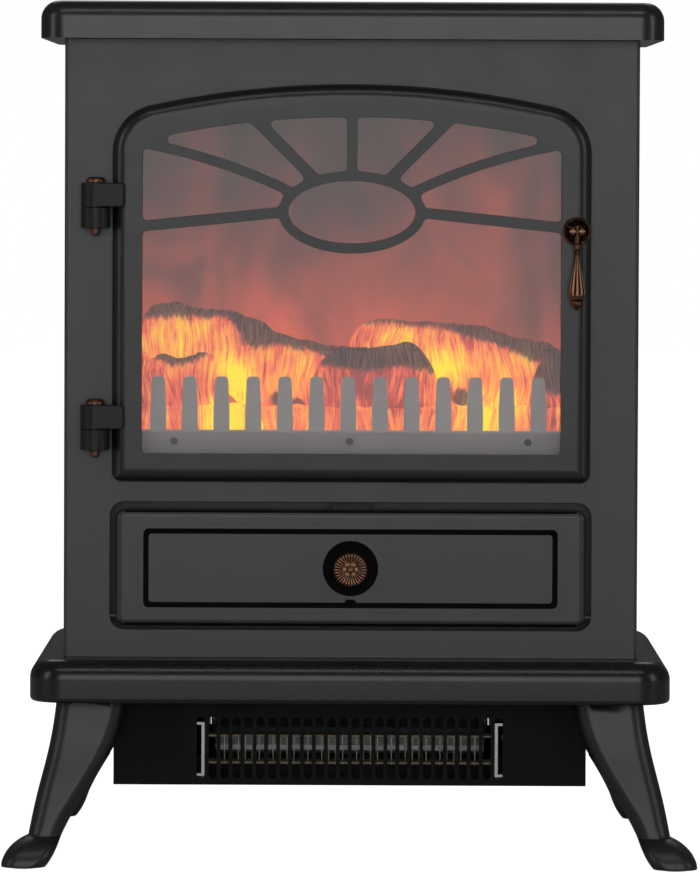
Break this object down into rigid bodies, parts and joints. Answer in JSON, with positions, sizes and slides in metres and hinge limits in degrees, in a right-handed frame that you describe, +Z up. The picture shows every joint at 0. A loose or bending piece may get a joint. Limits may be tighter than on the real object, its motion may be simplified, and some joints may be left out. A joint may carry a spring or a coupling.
{
  "type": "electric stove heater",
  "caption": "Free-standing electric stove heater with a hinged glazed door over a glowing log bed, a drop-down control flap and a fan heater under its base.",
  "frame": {"origin": "on the floor, under the middle of the four feet", "axes": "+Z up, +X to the right of someone facing the door, the door faces -Y"},
  "size_m": [0.433, 0.288, 0.54],
  "materials": {
    "cabinet_black": "fine satin heat-resistant powder coat",
    "base_black": "semi-gloss heat-resistant paint",
    "leg_black": "satin heat-resistant paint over a fine cast skin",
    "door_black": "satin heat-resistant paint",
    "hinge_black": "satin black paint",
    "antique_bronze": "dark antique bronze plating, rubbed on the high places",
    "zinc_screws": "bright zinc",
    "fret_grey": "matt silver-grey paint",
    "felt": "black pressed felt",
    "grille_black": "matt black paint",
    "bright_steel": "bright rolled steel",
    "mica": "pressed mica board",
    "heating_wire": "oxidised resistance wire",
    "fan_alloy": "plain alloy",
    "motor_steel": "laminated steel and zinc",
    "black_plastic": "moulded heat-resistant plastic",
    "rocker_black": "moulded rocker cap",
    "rocker_red": "moulded translucent rocker cap",
    "log_resin": "painted translucent moulded resin",
    "flame_film": "translucent light-spreading sheet",
    "board_green": "circuit board lacquer",
    "lamp_amber": "clear amber lamp",
    "block_white": "moulded nylon",
    "tinted_glass": "toughened flat glass"
  },
  "bodies": {
    "cabinet": {"top_plate": "cabinet_black", "front_panel": "cabinet_black", "left_side_panel": "cabinet_black", "right_side_panel": "cabinet_black", "rear_cover": "cabinet_black", "control_tray": "cabinet_black", "base_plate": "base_black", "leg_front_left": "leg_black", "leg_front_right": "leg_black", "leg_rear_left": "leg_black", "leg_rear_right": "leg_black", "hinge_brackets": "hinge_black", "hinge_pins": "antique_bronze", "rear_cover_screws": "zinc_screws", "leg_bolts": "zinc_screws", "flap_hinge_brackets": "zinc_screws", "grate_fret": "fret_grey", "fret_screws": "fret_grey", "foot_pads": "felt", "heater_housing": "grille_black", "fuel_tray": "grille_black", "firebox_liner": "grille_black", "flame_box": "grille_black", "element_brackets": "bright_steel", "fan_scroll": "bright_steel", "flame_reflector": "bright_steel", "mica_boards": "mica", "element_wires": "heating_wire", "fan_motor": "motor_steel", "spindle_motor": "motor_steel", "spindle_bearing": "motor_steel", "switch_housings": "black_plastic", "thermostat_body": "black_plastic", "cable_gland": "black_plastic", "door_magnet": "black_plastic", "flap_catch": "black_plastic", "thermal_cutout": "black_plastic", "fuel_bed": "log_resin", "flame_screen": "flame_film", "led_board": "board_green", "led_lamps": "lamp_amber", "terminal_block": "block_white"},
    "door": {"door_frame": "door_black", "door_glass": "tinted_glass", "glass_clips": "zinc_screws", "glass_clip_screws": "zinc_screws", "door_hinge_straps": "hinge_black", "door_strike": "zinc_screws", "handle_rosette": "antique_bronze", "handle_pin": "antique_bronze"},
    "flap": {"control_flap": "door_black", "flap_knob": "antique_bronze", "flap_pins": "zinc_screws"},
    "drop": {"handle_drop": "antique_bronze"},
    "power_switch": {"power_rocker": "rocker_red"},
    "low_heat_switch": {"low_heat_rocker": "rocker_black"},
    "high_heat_switch": {"high_heat_rocker": "rocker_black"},
    "dial": {"thermostat_dial": "black_plastic"},
    "impeller": {"fan_impeller": "fan_alloy"},
    "spindle": {"flame_spindle": "bright_steel"}
  },
  "joints": [
    {"name": "door_hinge", "type": "hinge", "parent": "cabinet", "child": "door", "pos_m": [-0.1601, -0.1095, 0.34925], "axis": [0, 0, -1], "range_deg": [0, 110]},
    {"name": "handle_swing", "type": "hinge", "parent": "door", "child": "drop", "pos_m": [0.1404, -0.119, 0.397], "axis": [-1, 0, 0], "range_deg": [0, 95]},
    {"name": "flap_hinge", "type": "hinge", "parent": "cabinet", "child": "flap", "pos_m": [0, -0.0965, 0.1542], "axis": [1, 0, 0], "range_deg": [0, 88]},
    {"name": "thermostat_turn", "type": "hinge", "parent": "cabinet", "child": "dial", "pos_m": [0.062, -0.0785, 0.185], "axis": [0, 1, 0], "range_deg": [0, 270]},
    {"name": "fan_spin", "type": "hinge", "parent": "cabinet", "child": "impeller", "pos_m": [0, 0.0185, 0.085], "axis": [1, 0, 0], "continuous": true},
    {"name": "spindle_spin", "type": "hinge", "parent": "cabinet", "child": "spindle", "pos_m": [0, 0.0115, 0.2941], "axis": [1, 0, 0], "continuous": true},
    {"name": "power_rock", "type": "hinge", "parent": "cabinet", "child": "power_switch", "pos_m": [-0.084, -0.0795, 0.185], "axis": [1, 0, 0], "range_deg": [0, 16]},
    {"name": "low_heat_rock", "type": "hinge", "parent": "cabinet", "child": "low_heat_switch", "pos_m": [-0.054, -0.0795, 0.185], "axis": [1, 0, 0], "range_deg": [0, 16]},
    {"name": "high_heat_rock", "type": "hinge", "parent": "cabinet", "child": "high_heat_switch", "pos_m": [-0.024, -0.0795, 0.185], "axis": [1, 0, 0], "range_deg": [0, 16]}
  ]
}
